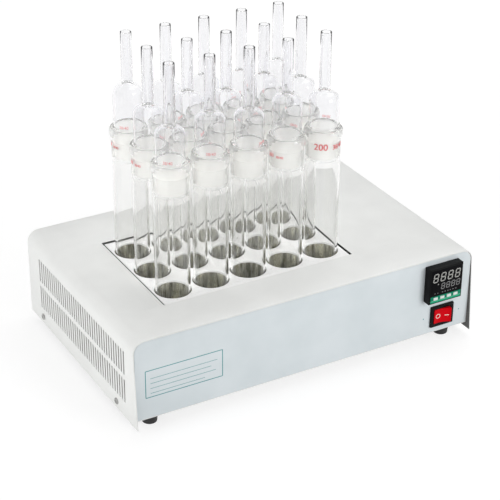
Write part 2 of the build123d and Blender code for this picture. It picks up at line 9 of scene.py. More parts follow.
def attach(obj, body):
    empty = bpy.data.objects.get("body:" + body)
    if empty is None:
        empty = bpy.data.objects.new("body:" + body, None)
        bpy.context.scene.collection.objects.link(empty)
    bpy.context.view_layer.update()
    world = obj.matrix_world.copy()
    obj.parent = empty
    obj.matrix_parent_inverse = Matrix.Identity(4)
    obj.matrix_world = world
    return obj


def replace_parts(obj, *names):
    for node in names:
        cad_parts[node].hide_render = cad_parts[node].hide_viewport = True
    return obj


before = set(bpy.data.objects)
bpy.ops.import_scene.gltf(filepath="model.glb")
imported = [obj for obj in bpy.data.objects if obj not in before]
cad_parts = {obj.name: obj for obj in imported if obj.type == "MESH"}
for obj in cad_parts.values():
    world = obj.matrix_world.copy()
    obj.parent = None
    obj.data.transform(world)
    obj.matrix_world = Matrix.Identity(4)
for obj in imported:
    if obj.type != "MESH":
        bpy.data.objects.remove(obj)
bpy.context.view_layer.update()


# ---- Tray ----
# Floor, front wall, back wall and side lips, bent from one steel sheet and powder-coated.
# Everything else is fixed to it.
def screen(red, green, blue):
    """Linear colour from screen levels of 0 to 255, by the usual screen curve."""
    level = np.array((red, green, blue)) / 255
    linear = np.where(level > 0.04045, ((level + 0.055) / 1.055) ** 2.4, level / 12.92)
    return (*linear.tolist(), 1.0)


def put(tree, kind, inputs=None, **choices):
    """Adds a shader node. Each input takes a value or the output of another node."""
    added = tree.nodes.new("ShaderNode" + kind)
    for choice, value in choices.items():
        setattr(added, choice, value)
    for place, value in (inputs or {}).items():
        if isinstance(value, bpy.types.NodeSocket):
            tree.links.new(value, added.inputs[place])
        else:
            added.inputs[place].default_value = value
    return added


def effect(name, given, masks):
    """Starts a shader node group with number inputs and mask outputs."""
    tree = bpy.data.node_groups.new(name, "ShaderNodeTree")
    for label, usual in given.items():
        entry = tree.interface.new_socket(label, in_out="INPUT", socket_type="NodeSocketFloat")
        entry.default_value = usual
    for label in masks:
        tree.interface.new_socket(label, in_out="OUTPUT", socket_type="NodeSocketFloat")
    return tree, tree.nodes.new("NodeGroupInput").outputs, tree.nodes.new("NodeGroupOutput").inputs


def spread(tree, value, start, end, low, high):
    """Value carried from start-end to low-high in a straight line, held at both ends."""
    places = {"Value": value, "From Min": start, "From Max": end, "To Min": low, "To Max": high}
    return put(tree, "MapRange", places).outputs[0]


def mixed(tree, share, first, second):
    """Colour between two colours."""
    return put(tree, "Mix", {0: share, 6: first, 7: second}, data_type="RGBA").outputs[2]


surface_tone, given, result = effect(
    "surface_tone", {"Grain Size": 0.0006, "Cloud Size": 0.05}, ("Grain", "Cloud")
)
spot = put(surface_tone, "TexCoord").outputs["Object"]
for label in ("Grain", "Cloud"):
    size = {0: 1.0, 1: given[label + " Size"]}
    scale = put(surface_tone, "Math", size, operation="DIVIDE").outputs[0]
    noise = put(surface_tone, "TexNoise", {"Vector": spot, "Scale": scale, "Detail": 3.0})
    surface_tone.links.new(noise.outputs[0], result[label])


def finish(
    name, dark, light, roughness,
    grain=0.0006, cloud=0.05, relief=0.00002, metallic=0.0, coat=0.0, specular=0.5,
):
    """Material whose colour drifts between two colours in clouds, and whose sheen and relief
    follow a fine grain. Grain, cloud and relief are sizes in metres."""
    material = bpy.data.materials.new(name)
    material.use_nodes = True
    tree = material.node_tree
    tone = put(tree, "Group", node_tree=surface_tone)
    tone.inputs["Grain Size"].default_value = grain
    tone.inputs["Cloud Size"].default_value = cloud
    shader = tree.nodes["Principled BSDF"]
    drift = spread(tree, tone.outputs["Cloud"], 0.35, 0.65, 0.0, 1.0)
    tree.links.new(mixed(tree, drift, dark, light), shader.inputs["Base Color"])
    sheen = spread(tree, tone.outputs["Grain"], 0.3, 0.7, *roughness)
    tree.links.new(sheen, shader.inputs["Roughness"])
    bump = put(tree, "Bump", {"Height": tone.outputs["Grain"], "Distance": relief, "Strength": 1.0})
    tree.links.new(bump.outputs["Normal"], shader.inputs["Normal"])
    shader.inputs["Metallic"].default_value = metallic
    shader.inputs["Coat Weight"].default_value = coat
    shader.inputs["Specular IOR Level"].default_value = specular
    return material


def dress(material, *names):
    """Gives nodes of the solid model their finish."""
    for name in names:
        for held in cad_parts[name].material_slots:
            held.material = material


paint = finish(
    "cover_paint", screen(230, 231, 229), screen(235, 236, 234), (0.42, 0.52),
    grain=0.0011, relief=0.00004,
)
dress(paint, "chassis_tray")


# ---- Feet and their screws ----
# Four turned rubber feet, each held by a cross-head screw in the pocket under it.
# Only a sliver of one shows in front.
def rounded(corners, steps=6):
    """Closed outline through (radius, height, rounding) corners: the rounding is the radius of
    the arc that touches both sides of the corner."""
    corners = [(*corner, 0.0)[:3] for corner in corners]
    stretches = []
    for before, here, after in zip(corners[-1:] + corners[:-1], corners, corners[1:] + corners[:1]):
        corner, back, ahead = (np.array(point[:2], float) for point in (here, before, after))
        if not here[2]:
            stretches.append(corner[None])
            continue
        sides = [(end - corner) / np.linalg.norm(end - corner) for end in (back, ahead)]
        half = np.arccos(np.clip(sides[0] @ sides[1], -1, 1)) / 2
        inward = (sides[0] + sides[1]) / np.linalg.norm(sides[0] + sides[1])
        centre = corner + inward * here[2] / np.sin(half)
        start, end = (corner + side * here[2] / np.tan(half) - centre for side in sides)
        sweep, along = pi - 2 * half, np.linspace(0, 1, steps)[:, None]
        arc = (np.sin((1 - along) * sweep) * start + np.sin(along * sweep) * end) / np.sin(sweep)
        stretches.append(centre + arc)
    return np.concatenate(stretches)


def turned(outline, sides=48):
    """Skin (r cos a, r sin a, z) of an outline that runs counter-clockwise with the radius to
    the right. A point on the axis becomes a single pole."""
    radius, height = outline.T
    angle = np.linspace(0, 2 * pi, sides, endpoint=False)
    ring = np.stack([np.cos(angle), np.sin(angle), np.zeros(sides)], -1)
    points = radius[:, None, None] * ring + height[:, None, None] * np.array((0, 0, 1))
    pole = radius < 1e-9
    kept = ~pole[:, None] | (np.arange(sides) == 0)
    here = np.cumsum(kept.ravel()).reshape(kept.shape) - 1
    there, ahead = np.roll(here, -1, 0), np.roll(here, -1, 1)
    beyond = np.roll(there, -1, 1)
    next_pole = np.roll(pole, -1)
    open_rows, fans, caps = ~pole & ~next_pole, pole & ~next_pole, ~pole & next_pole
    quads = np.stack([here, ahead, beyond, there], -1)[open_rows].reshape(-1, 4)
    fan = np.stack([here, beyond, there], -1)[fans].reshape(-1, 3)
    cap = np.stack([here, ahead, there], -1)[caps].reshape(-1, 3)
    return points[kept], quads, np.concatenate([fan, cap])


def placed(skin, place, turn=None):
    """The same skin turned by a matrix and moved."""
    points, quads, triangles = skin
    turn = np.eye(3) if turn is None else np.array(turn)
    return points @ turn.T + np.array(place), quads, triangles


def together(skins):
    """Several skins as one, each counted on from the points of those before it."""
    starts = np.cumsum([0] + [len(skin[0]) for skin in skins])
    return (
        np.concatenate([skin[0] for skin in skins]),
        np.concatenate([skin[1] + start for skin, start in zip(skins, starts)]),
        np.concatenate([skin[2] + start for skin, start in zip(skins, starts)]),
    )


sharp_edge = radians(35)


def smoothed(mesh):
    """Smooth shading, broken at the sharp edges."""
    mesh.shade_smooth()
    mesh.set_sharp_from_angle(angle=sharp_edge)


def linked(name, data):
    """Object of the scene that holds a mesh, a lamp, a camera or a line of print."""
    added = bpy.data.objects.new(name, data)
    bpy.context.scene.collection.objects.link(added)
    return added


def piece(name, skin, materials, body="root", stands_for=()):
    """Object from a skin in millimetres, riding on a body in place of the named nodes."""
    points, quads, triangles = skin
    mesh = bpy.data.meshes.new(name)
    mesh.from_pydata((points / 1000).tolist(), [], quads.tolist() + triangles.tolist())
    smoothed(mesh)
    for material in materials:
        mesh.materials.append(material)
    shape = linked(name, mesh)
    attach(shape, body)
    if stands_for:
        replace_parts(shape, *stands_for)
    return shape


foot_height, pocket_depth, screw_hole = 14, 6, 2.2
foot_spots = [(x, y) for x in (-203, 203) for y in (-129, 129)]
foot = turned(rounded([
    (8.8, 0, 0.8), (10, foot_height, 0.5), (screw_hole, foot_height),
    (screw_hole, pocket_depth), (4.2, pocket_depth, 0.3), (4.2, 0, 0.5),
]))
rubber = finish("foot_rubber", screen(20, 20, 21), screen(34, 34, 35), (0.6, 0.75), relief=0.00006)
piece("feet", together([placed(foot, (x, y, 0)) for x, y in foot_spots]), [rubber],
      stands_for=["rubber_feet"])


def cross_screw(head, height, shank, length):
    """Pan-head screw with its head above the origin. The head is a straight rim and on it a
    dome, height = rim + rest * sqrt(1 - (radius / full radius)^2). Two crossing slots are
    pressed in, each as deep as the product of two clipped slopes, across it and along it."""
    rim, chamfer = 0.45 * height, 0.5
    across = np.linspace(head / 2, 0, 13)
    dome = np.stack([across, rim + (height - rim) * np.sqrt(1 - (2 * across / head) ** 2)], -1)
    stem = [
        (0, -length), (shank / 2 - chamfer, -length), (shank / 2, chamfer - length),
        (shank / 2, 0), (head / 2, 0),
    ]
    points, quads, triangles = turned(np.concatenate([stem, dome]), sides=40)
    x, y, z = points.T
    slot_half, slot_reach, slot_edge = 0.075 * head, 0.29 * head, 0.03 * head
    slot_depth = 0.55 * height
    slots = [
        np.clip((slot_half - np.abs(a)) / slot_edge, 0, 1)
        * np.clip((slot_reach - np.abs(b)) / slot_edge, 0, 1)
        for a, b in ((x, y), (y, x))
    ]
    sunk = slot_depth * np.maximum(*slots) * (z > 0.4 * height)
    return np.stack([x, y, z - sunk], -1), quads, triangles


head_down = np.diag((1, -1, -1))
steel = finish(
    "screw_steel", screen(150, 150, 148), screen(186, 186, 184), (0.25, 0.4),
    cloud=0.004, relief=0.00001, metallic=1.0,
)
foot_screw = cross_screw(head=8, height=2.2, shank=4, length=15.2)
piece("foot_screw_heads", together([
    placed(foot_screw, (x, y, pocket_depth), head_down) for x, y in foot_spots
]), [steel], stands_for=["foot_screws"])


# ---- Heating block, heater, insulation and bolts ----
# An aluminium block bored with fifteen wells on a flat heater, packed in mineral board and
# pulled down by four bolts from below. The bores show upright marks. The top face and the
# port for a thermometer are painted near black as shade, under the plate and inside the port.
def finished_mesh(shape):
    """Mesh of an object as its modifiers or its lettering leave it."""
    bpy.context.view_layer.update()
    evaluated = shape.evaluated_get(bpy.context.evaluated_depsgraph_get())
    return bpy.data.meshes.new_from_object(evaluated)


def settled(shape):
    """Makes the result of the modifiers the object's own mesh."""
    result = finished_mesh(shape)
    shape.modifiers.clear()
    shape.data = result


def softened(node, width, material, body="root", rounds=2):
    """Copy of a node of the solid model with its points merged and its sharp edges eased."""
    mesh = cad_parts[node].data.copy()
    mesh.name = node + "_eased"
    work = bmesh.new()
    work.from_mesh(mesh)
    bmesh.ops.remove_doubles(work, verts=work.verts, dist=2e-6)
    bmesh.ops.dissolve_limit(work, angle_limit=radians(1), verts=work.verts, edges=work.edges)
    work.to_mesh(mesh)
    work.free()
    shape = linked(node + "_eased", mesh)
    bevel = shape.modifiers.new("Eased", "BEVEL")
    bevel.width, bevel.segments = width / 1000, rounds
    bevel.limit_method, bevel.angle_limit = "ANGLE", sharp_edge
    settled(shape)
    smoothed(shape.data)
    shape.data.materials.clear()
    shape.data.materials.append(material)
    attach(shape, body)
    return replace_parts(shape, node)


drawn_lines, given, result = effect("drawn_lines", {"Across": 0.0012, "Along": 0.05}, ("Line",))
spot = put(drawn_lines, "TexCoord").outputs["Object"]
way = put(drawn_lines, "SeparateXYZ", {0: spot}).outputs
stretched = put(drawn_lines, "CombineXYZ", {
    axis: put(drawn_lines, "Math", {0: way[axis], 1: given[size]}, operation="DIVIDE").outputs[0]
    for axis, size in (("X", "Across"), ("Y", "Across"), ("Z", "Along"))
})
streak = put(drawn_lines, "TexNoise", {"Vector": stretched.outputs[0], "Scale": 1.0, "Detail": 4.0})
drawn_lines.links.new(streak.outputs[0], result["Line"])


def bench_height(tree):
    """Height over the bench in metres."""
    return put(tree, "SeparateXYZ", {0: put(tree, "TexCoord").outputs["Object"]}).outputs["Z"]


bore_dark, bore_light, bore_sheen = screen(120, 119, 102), screen(243, 242, 230), (0.42, 0.22)
painted_shade_dark = screen(44, 43, 39)
port_spot, port_reach, block_face = (-0.010, 0.0225, 0.0), 0.003, 0.1158
bored = finish("block_aluminium", bore_dark, bore_light, bore_sheen, metallic=1.0)
tree = bored.node_tree
shader = tree.nodes["Principled BSDF"]
line = put(tree, "Group", node_tree=drawn_lines)
line.inputs["Across"].default_value, line.inputs["Along"].default_value = 0.0055, 0.035
mark = spread(tree, line.outputs["Line"], 0.38, 0.62, 0.0, 1.0)
tree.links.new(spread(tree, mark, 0.0, 1.0, *bore_sheen), shader.inputs["Roughness"])
# Painted shade: the block's top face and the thermometer port are mixed to near black.
spot = put(tree, "TexCoord").outputs["Object"]
flat_spot = put(tree, "VectorMath", {0: spot, 1: (1.0, 1.0, 0.0)}, operation="MULTIPLY").outputs[0]
to_port = put(tree, "VectorMath", {0: flat_spot, 1: port_spot}, operation="DISTANCE")
in_port = put(tree, "Math", {0: to_port.outputs["Value"], 1: port_reach}, operation="LESS_THAN")
on_top = put(tree, "Math", {0: bench_height(tree), 1: block_face}, operation="GREATER_THAN")
shade_spots = put(tree, "Math", {0: in_port.outputs[0], 1: on_top.outputs[0]}, operation="MAXIMUM")
marked = mixed(tree, mark, bore_dark, bore_light)
tree.links.new(mixed(tree, shade_spots.outputs[0], marked, painted_shade_dark), shader.inputs["Base Color"])
softened("heating_block", 0.4, bored)

stamped = finish(
    "heater_steel", screen(96, 94, 92), screen(130, 127, 122), (0.35, 0.5), metallic=1.0
)
dress(stamped, "heater_plate")
board = finish(
    "insulation_board", screen(206, 200, 186), screen(228, 223, 211), (0.8, 0.95),
    grain=0.002, relief=0.0003,
)
dress(board, "insulation_base", "insulation_jacket")
block_bolt, bolt_level = cross_screw(head=10, height=4, shank=6, length=35.2), 14
piece("bolts", together([
    placed(block_bolt, (x, y, bolt_level), head_down) for x in (-110, 40) for y in (-31.5, 22.5)
]), [steel], stands_for=["block_bolts"])


# ---- Temperature probe, relay and terminal strip ----
# The sensor in the block's side, the solid-state relay and the wiring strip on the floor.
# None of them shows from outside.
sheath = finish(
    "probe_steel", screen(168, 168, 165), screen(198, 198, 195), (0.2, 0.3), metallic=1.0
)
probe_place, probe_radius, collar_radius, probe_tip, probe_tail = (96, 22.5, 59.2), 2.5, 4, -38, 21
sensor = turned(rounded([
    (0, probe_tip), (probe_radius, probe_tip, 1.2), (probe_radius, 0), (collar_radius, 0, 0.3),
    (collar_radius, 3, 0.3), (probe_radius, 3), (probe_radius, probe_tail, 0.6), (0, probe_tail),
]), sides=32)
point_left = [(0, 0, 1), (0, 1, 0), (-1, 0, 0)]
piece("sensor", placed(sensor, probe_place, point_left), [sheath],
      stands_for=["temperature_probe"])
relay_case = finish("relay_grey", screen(44, 46, 48), screen(58, 60, 62), (0.4, 0.5))
strip_case = finish("terminal_white", screen(216, 214, 206), screen(230, 228, 222), (0.35, 0.45))
softened("solid_state_relay", 0.6, relay_case)
softened("terminal_block", 0.4, strip_case)


# ---- Well plate ----
# White enamelled steel plate with a hole for each tube. It rests on the block, level with the
# cover, with a narrow gap all round.
enamel = finish(
    "plate_enamel", screen(246, 246, 245), screen(251, 251, 250), (0.25, 0.36),
    grain=0.002, relief=0.00003, coat=0.2,
)
softened("well_plate", 0.45, enamel)


# ---- Cover ----
# One steel sheet bent over the top and both sides, with two rows of upright slots in each
# side and a cut-out round the well plate. The top ends level with the front panel and the
# sides lean forward to their foot. Powder-coated white outside; the inside is painted dark grey as
# shade.
cover_half, cover_foot, cover_top, bend, cheek_lean = 230.0, 8.0, 120.0, 15.0, 7.0
cover_ends, cover_sheet = (-154.0, 154.0), 1.2
slot_rows = ((29.0, 60.0), (66.5, 97.5))
slot_half, slot_pitch, slot_count, slot_shift = 1.4, 6.5, 38, -2.0
cut_x, cut_y = (-161.75, 92.25), (-88.5, 81.5)

# The section across runs up the left side, round its bend, over the top and down the right
# side. It is carried along Y, and the cells that lie in a slot or in the cut-out are dropped.
slot_middles = slot_shift + (np.arange(slot_count) - (slot_count - 1) / 2) * slot_pitch
rise = np.array([cover_foot, *slot_rows[0], *slot_rows[1], cover_top - bend])
curl = np.linspace(0, pi / 2, 10)[1:]
left_x = np.concatenate([np.full(len(rise), -cover_half), bend * (1 - np.cos(curl)) - cover_half])
left_z = np.concatenate([rise, cover_top - bend + bend * np.sin(curl)])
section_x = np.concatenate([left_x, cut_x, -left_x[::-1]])
section_z = np.concatenate([left_z, [cover_top] * 2, left_z[::-1]])
slot_edges = (slot_middles[:, None] + np.array((-slot_half, slot_half))).ravel()
lines_y = np.unique(np.concatenate([cover_ends, cut_y, slot_edges]))


def within(value, ends, margin=0.0):
    """True where a value lies between two ends that are moved apart by a margin."""
    return (value > ends[0] - margin) & (value < ends[1] + margin)


middle_x, middle_y, middle_z = (
    (lines[1:] + lines[:-1]) / 2 for lines in (section_x, lines_y, section_z)
)
flush = 0.01
on_side, on_top = np.abs(middle_x) > cover_half - flush, middle_z > cover_top - flush
in_row = on_side & np.any([within(middle_z, row) for row in slot_rows], 0)
in_slot = np.abs(middle_y[:, None] - slot_middles).min(1) < slot_half
in_cut_x, in_cut_y = on_top & within(middle_x, cut_x), within(middle_y, cut_y)
solid_cells = ~(np.outer(in_row, in_slot) | np.outer(in_cut_x, in_cut_y))
sheet_y = np.tile(lines_y, (len(section_x), 1))
up_side = np.clip((section_z - cover_foot) / (cover_top - bend - cover_foot), 0, 1)
sheet_y[:, 0] += cheek_lean * up_side
sheet_points = np.stack([
    np.repeat(section_x, len(lines_y)), sheet_y.ravel(), np.repeat(section_z, len(lines_y))
], -1)
count = np.arange(len(sheet_points)).reshape(len(section_x), len(lines_y))
cells = np.stack([count[:-1, :-1], count[1:, :-1], count[1:, 1:], count[:-1, 1:]], -1)[solid_cells]
used, cells = np.unique(cells, return_inverse=True)
# Painted shade: the inner faces and the cut-out's edges are dark grey, for the shade inside the
# cover.
inside_shade = finish(
    "inside_painted_shade", screen(92, 93, 92), screen(104, 105, 104), (0.6, 0.75),
    grain=0.0011, relief=0.00004,
)
sheet_skin = sheet_points[used], cells.reshape(-1, 4), np.zeros((0, 3), int)
cover = piece("cover", sheet_skin, [paint, inside_shade], stands_for=["top_cover"])
wall = cover.modifiers.new("Sheet", "SOLIDIFY")
wall.thickness, wall.offset, wall.material_offset = cover_sheet / 1000, -1.0, 1
easing = cover.modifiers.new("Eased", "BEVEL")
easing.width, easing.segments = 0.0003, 2
easing.limit_method, easing.angle_limit = "ANGLE", radians(40)
settled(cover)
smoothed(cover.data)

# The upright faces round the cut-out take the same dark grey: painted shade for the deep gap round
# the well plate.
faces = cover.data.polygons
middle, facing = np.zeros((2, len(faces) * 3))
faces.foreach_get("center", middle)
faces.foreach_get("normal", facing)
x, y, z = middle.reshape(-1, 3).T * 1000
shaded_edge = (np.abs(facing[2::3]) < 0.5) & (z > cover_top - 2)
shaded_edge &= within(x, cut_x, margin=1) & within(y, cut_y, margin=1)
coat = np.zeros(len(faces), np.int32)
faces.foreach_get("material_index", coat)
faces.foreach_set("material_index", np.where(shaded_edge, 1, coat).astype(np.int32))
cover.data.update()

side_screw, side_screw_level = cross_screw(head=8, height=2.2, shank=4, length=9), 18
point_out = {side: [(0, 0, side), (0, 1, 0), (-side, 0, 0)] for side in (-1, 1)}
piece("side_screws", together([
    placed(side_screw, (side * cover_half, y, side_screw_level), turn)
    for side, turn in point_out.items() for y in (-100, 114)
]), [steel], stands_for=["cover_screws"])


# ---- Front sheet ----
# Thin plastic sheet stuck on the front wall, in a cool pale blue-grey. A framed note panel
# with ruled lines and two small dots beside the switch are printed on it in green ink.
film = finish(
    "panel_sheet", screen(209, 217, 220), screen(216, 223, 226), (0.35, 0.45), grain=0.0008
)
dress(film, "front_overlay")


def bar(x_ends, y_ends, z_ends):
    """Straight box from one corner to the other."""
    corner = np.array([(x, y, z) for x in x_ends for y in y_ends for z in z_ends], float)
    faces = [(0, 1, 3, 2), (4, 6, 7, 5), (0, 4, 5, 1), (2, 3, 7, 6), (0, 2, 6, 4), (1, 5, 7, 3)]
    return corner, np.array(faces), np.zeros((0, 3), int)


note_x, note_z, frame_half = (-215.0, -117.3), (43.7, 79.0), 0.5
rule_start, rule_half, rule_ends = -209.0, 0.28, {68: -124, 61.5: -132, 55: -126, 48.5: -140}
sheet_face, ink_depth = -146.5, 0.16
ink_y = (sheet_face - ink_depth, sheet_face)
frame_bars = [bar(note_x, ink_y, (z - frame_half, z + frame_half)) for z in note_z]
frame_bars += [bar((x - frame_half, x + frame_half), ink_y, note_z) for x in note_x]
ruled = [
    bar((rule_start, end), ink_y, (z - rule_half, z + rule_half)) for z, end in rule_ends.items()
]
ink = finish("panel_ink", screen(58, 138, 143), screen(66, 148, 152), (0.4, 0.5))
piece("note_panel_lines", together(frame_bars + ruled), [ink])
dot_radius, dot_level, dots_x = 0.8, 38, (162.6, 215.4)
dot = turned(rounded([(0, 0), (dot_radius, 0), (dot_radius, ink_depth), (0, ink_depth)]), sides=16)
to_front = [(1, 0, 0), (0, 0, -1), (0, 1, 0)]
piece("panel_dots", together([
    placed(dot, (x, sheet_face, dot_level), to_front) for x in dots_x
]), [ink])


# ---- Temperature controller ----
# Moulded black bezel on the front wall with a dark printed window, four keys and two rows of
# unlit figures, a long case behind and a ring that clamps it.
bezel_left, bezel_foot, window_face = 160.8, 63.8, -158.4
moulding = finish(
    "controller_black", screen(10, 10, 11), screen(16, 17, 18), (0.4, 0.55),
    relief=0.00005, specular=0.08,
)
for node in ("controller_bezel", "controller_case", "controller_clamp"):
    softened(node, 0.5, moulding)

# From a height down, the window's colour gives way to green, to a thin light line in it and
# to a lighter green.
band_colours = (
    (0.0743, screen(24, 128, 98)), (0.0686, screen(120, 190, 160)), (0.0680, screen(34, 158, 118))
)
window = finish(
    "controller_window", screen(8, 8, 10), screen(13, 13, 16), (0.12, 0.2),
    relief=0.000004, specular=0.05,
)
tree = window.node_tree
shader = tree.nodes["Principled BSDF"]
height, colour = bench_height(tree), shader.inputs["Base Color"].links[0].from_socket
for level, green in band_colours:
    below = put(tree, "Math", {0: height, 1: level}, operation="LESS_THAN").outputs[0]
    colour = mixed(tree, below, colour, green)
tree.links.new(colour, shader.inputs["Base Color"])
softened("controller_window", 0.1, window)
key_face = finish("key_white", screen(206, 216, 212), screen(222, 230, 226), (0.35, 0.45))
for key in ("set", "shift", "down", "up"):
    softened("key_" + key, 0.25, key_face, "key_" + key)


def figure_bar(middle, along, length, stroke):
    """Six-sided bar of a figure: two tips on its line and two shoulders half a stroke each side."""
    line, side = np.array(along, float), np.array((-along[1], along[0]), float)
    tip, inner = line * length / 2, line * (length - stroke) / 2
    half_stroke, stand_out, thick = side * stroke / 2, 0.06, 0.16
    flat = np.array(middle) + np.array([
        -tip, half_stroke - inner, half_stroke + inner,
        tip, inner - half_stroke, -inner - half_stroke,
    ])
    front = np.stack([flat[:, 0], np.full(6, window_face - stand_out), flat[:, 1]], -1)
    back = front + np.array((0, thick, 0))
    rim = [(n, (n + 1) % 6, (n + 1) % 6 + 6, n + 6) for n in range(6)]
    faces = [(0, 3, 2, 1), (0, 5, 4, 3), (6, 7, 8, 9), (6, 9, 10, 11)] + rim
    return np.concatenate([front, back]), np.array(faces), np.zeros((0, 3), int)


def figure(left, foot, width, height, stroke, lean=0.12):
    """All seven bars of one figure. Each point moves right by the lean times its height."""
    gap, quarter = stroke * 0.25, height / 4
    lying = [((left + width / 2, foot + z), (1, 0), width - gap) for z in (0, 2 * quarter, height)]
    standing = [
        ((left + x, foot + z), (0, 1), 2 * quarter - gap)
        for x in (0, width) for z in (quarter, 3 * quarter)
    ]
    points, quads, triangles = together([figure_bar(*place, stroke) for place in lying + standing])
    points[:, 0] += lean * (points[:, 2] - foot)
    return points, quads, triangles


large_left, large_pitch, large_foot = bezel_left + 4.6, 10.6, bezel_foot + 30.2
small_left, small_pitch, small_foot = bezel_left + 16.6, 7.4, bezel_foot + 19.0
large = [
    figure(large_left + n * large_pitch, large_foot, width=6.0, height=10.8, stroke=1.4)
    for n in range(4)
]
small = [
    figure(small_left + n * small_pitch, small_foot, width=4.4, height=7.4, stroke=1.0)
    for n in range(4)
]
lamp = [figure_bar((bezel_left + 12, bezel_foot + 26.6), (1, 0), length=2.2, stroke=1.6)]
dash_lengths = {8: 1.8, 12: 1.8, 19: 2.4, 22.8: 2.4, 27: 2.0, 30.4: 2.0, 34.4: 2.6, 38.6: 2.6}
dashes = [
    figure_bar((bezel_left + x, bezel_foot + 14.4), (1, 0), length, stroke=0.9)
    for x, length in dash_lengths.items()
]
grey_bars = finish(
    "figure_grey", screen(150, 150, 146), screen(166, 166, 162), (0.4, 0.5), cloud=0.003
)
dim_bars = finish(
    "figure_dim", screen(112, 112, 112), screen(126, 126, 126), (0.4, 0.5), cloud=0.003
)
piece("controller_figures", together(large + lamp), [grey_bars])
piece("controller_small_figures", together(small + dashes), [dim_bars])


# ---- Mains switch ----
# Black snap-in frame and a red rocker with a hollow face, which carries a raised ring at the
# off end and a raised bar at the on end.
snap_frame = finish(
    "switch_black", screen(10, 10, 11), screen(16, 17, 18), (0.3, 0.42), specular=0.08
)
softened("switch_frame", 0.4, snap_frame)
red = finish("rocker_red", screen(196, 1, 14), screen(208, 4, 22), (0.3, 0.4), specular=0.05)
softened("switch_rocker", 0.45, red, "switch_rocker", rounds=3)
face_radius, face_middle, pivot, tilt = 30.12, 3.0, (189, -146.8, 38), radians(-11)
rocker_turn = [(cos(tilt), -sin(tilt), 0), (sin(tilt), cos(tilt), 0), (0, 0, 1)]


def on_rocker(points):
    """Bends marks in the plane X-Z on to the hollow face, y = sqrt(r^2 - x^2) - r - middle."""
    x, y, z = points.T
    hollow = np.sqrt(face_radius**2 - x**2) - face_radius - face_middle
    return np.stack([x, y + hollow, z], -1)


ring_inside, ring_outside, ring_x, raised = 2.35, 3.2, -5.8, 0.18
ring, quads, triangles = turned(rounded([
    (ring_inside, -0.2), (ring_outside, -0.2),
    (ring_outside, raised, 0.08), (ring_inside, raised, 0.08),
]))
ring = ring @ np.array([(1, 0, 0), (0, 0, 1), (0, -1, 0)]) + np.array((ring_x, 0, 0))
off_mark = (on_rocker(ring), quads, triangles)
points, quads, triangles = bar((3.2, 8.6), (-raised, 0.3), (-0.45, 0.45))
on_mark = (on_rocker(points), quads, triangles)
pale = finish("mark_pale", screen(240, 220, 206), screen(246, 230, 218), (0.35, 0.45))
piece("rocker_marks", placed(together([off_mark, on_mark]), pivot, rocker_turn), [pale],
      "switch_rocker")


# ---- Mains inlet ----
# Black appliance inlet in the back wall with three flat pins, and a fuse drawer below them
# that holds a glass fuse.
socket_black = finish(
    "inlet_black", screen(18, 19, 20), screen(30, 31, 33), (0.35, 0.5), relief=0.00004
)
softened("power_inlet", 0.35, socket_black)
softened("fuse_drawer", 0.3, socket_black, "fuse_drawer")
pin_metal = finish(
    "pin_brass", screen(196, 190, 172), screen(218, 212, 196), (0.2, 0.3), metallic=1.0
)
softened("inlet_pins", 0.25, pin_metal)
fuse_clear = finish(
    "fuse_glass", screen(208, 214, 214), screen(222, 226, 226), (0.1, 0.2), coat=0.5
)
dress(fuse_clear, "fuse")


# ---- Digestion tubes ----
# Flat-footed glass tubes with a beaded rim. The mouth widens into a tapered socket that is
# ground matt inside and faintly hazed outside, and its size is fired on the outside in red.
drawn_across, drawn_along, glass_bends = 0.012, 0.25, 1.43


def clear(name, tint, roughness, transmission, shade):
    """Glass with faint upright drawing marks in its relief. Rays towards a lamp pass straight
    through it, dimmed to a plain shade, so that it throws only a pale shadow."""
    material = bpy.data.materials.new(name)
    material.use_nodes = True
    tree = material.node_tree
    shader = tree.nodes["Principled BSDF"]
    line = put(tree, "Group", node_tree=drawn_lines)
    line.inputs["Across"].default_value = drawn_across
    line.inputs["Along"].default_value = drawn_along
    bump = put(tree, "Bump", {"Height": line.outputs["Line"], "Distance": 0.00002, "Strength": 1.0})
    tree.links.new(bump.outputs["Normal"], shader.inputs["Normal"])
    share = spread(tree, line.outputs["Line"], 0.3, 0.7, 0.0, 1.0)
    tree.links.new(mixed(tree, share, *tint), shader.inputs["Base Color"])
    tree.links.new(spread(tree, share, 0.0, 1.0, *roughness), shader.inputs["Roughness"])
    shader.inputs["Transmission Weight"].default_value = transmission
    shader.inputs["IOR"].default_value = glass_bends
    through = put(tree, "BsdfTransparent", {"Color": (shade, shade, shade, 1.0)})
    to_lamp = put(tree, "LightPath").outputs["Is Shadow Ray"]
    split = put(tree, "MixShader", {0: to_lamp, 1: shader.outputs[0], 2: through.outputs[0]})
    tree.links.new(split.outputs[0], tree.nodes["Material Output"].inputs["Surface"])
    return material


tube_glass = clear(
    "tube_glass", (screen(248, 248, 248), screen(252, 252, 251)), (0.0, 0.01),
    transmission=1.0, shade=0.97,
)
# Where the eye grazes the wall the tube is darker towards its sides: partly the deeper tint of
# a longer path through glass, partly painted shade for the dark edges. It fades out up the socket.
edge_tint_and_shade, fade_start, fade_end = screen(230, 231, 228), 0.200, 0.235
tree = tube_glass.node_tree
shader = tree.nodes["Principled BSDF"]
plain_tint = shader.inputs["Base Color"].links[0].from_socket
facing = put(tree, "LayerWeight", {"Blend": 0.5}).outputs["Facing"]
edge_darkening = put(tree, "Math", {
    0: spread(tree, facing, 0.55, 0.95, 0.0, 1.0),
    1: spread(tree, bench_height(tree), fade_start, fade_end, 1.0, 0.0),
}, operation="MULTIPLY")
tinted = mixed(tree, edge_darkening.outputs[0], plain_tint, edge_tint_and_shade)
tree.links.new(tinted, shader.inputs["Base Color"])
ground_glass = clear(
    "ground_glass", (screen(248, 248, 246), screen(253, 253, 251)), (0.3, 0.4),
    transmission=0.8, shade=0.95,
)
hazed_glass = clear(
    "hazed_glass", (screen(249, 249, 247), screen(253, 253, 251)), (0.14, 0.2),
    transmission=0.85, shade=0.97,
)

